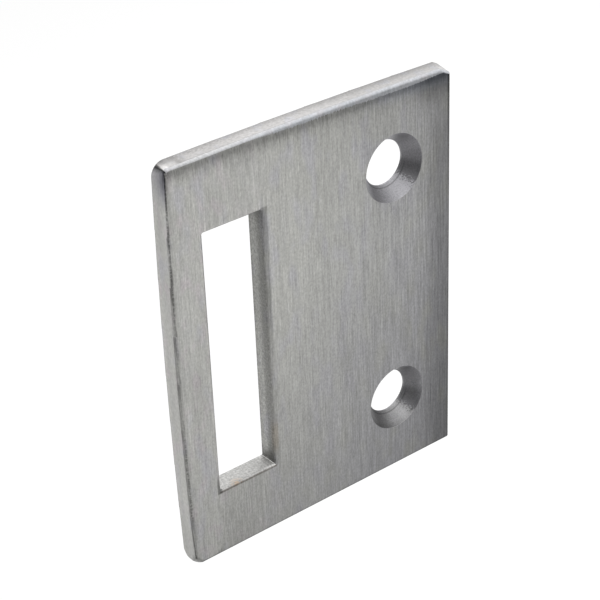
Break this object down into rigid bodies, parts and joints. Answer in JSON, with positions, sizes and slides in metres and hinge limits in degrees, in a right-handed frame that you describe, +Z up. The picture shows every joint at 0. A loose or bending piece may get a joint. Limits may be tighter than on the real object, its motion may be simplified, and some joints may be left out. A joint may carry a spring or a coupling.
{
  "type": "door strike plate",
  "caption": "Flat stainless steel plate for a door frame, with a tall rectangular slot that takes the latch bolt and a column of countersunk screw holes beside it.",
  "frame": {"origin": "middle of the two screw holes, on the plate's back face", "axes": "+Z up along the plate's height and the slot, -Y out of the front face towards the door, +Y into the door frame, +X from the slot towards the screw holes"},
  "size_m": [0.0471, 0.003, 0.0601],
  "materials": {
    "satin_steel": "satin, brushed along the plate's height"
  },
  "bodies": {
    "root": {"strike_plate": "satin_steel"}
  },
  "joints": []
}
